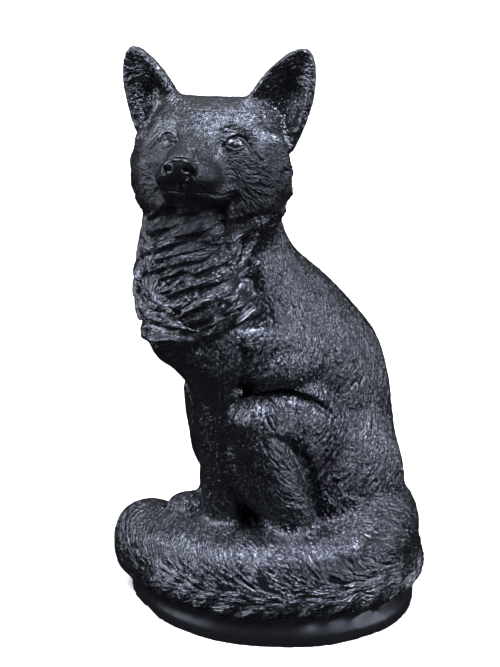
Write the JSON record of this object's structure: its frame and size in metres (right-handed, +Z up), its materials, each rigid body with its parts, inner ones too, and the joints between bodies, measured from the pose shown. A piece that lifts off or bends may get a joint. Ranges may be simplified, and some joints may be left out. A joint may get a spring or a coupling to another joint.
{
  "type": "fox statue",
  "caption": "Sitting fox garden statue cast in one piece, with its brush curled round its feet on a thin oval base.",
  "frame": {"origin": "on the underside at ground level, near the middle of the base under the fox's chest", "axes": "+Z up, -Y the way the fox's body faces, +X to the fox's left, where its tail comes round"},
  "size_m": [0.2375, 0.258, 0.4805],
  "materials": {
    "black_paint": "cast concrete under a black glossy paint, a little bluish in the light, glossier on the nose and eyes, over fine cast fur"
  },
  "bodies": {
    "root": {"fox_statue": "black_paint"}
  },
  "joints": []
}
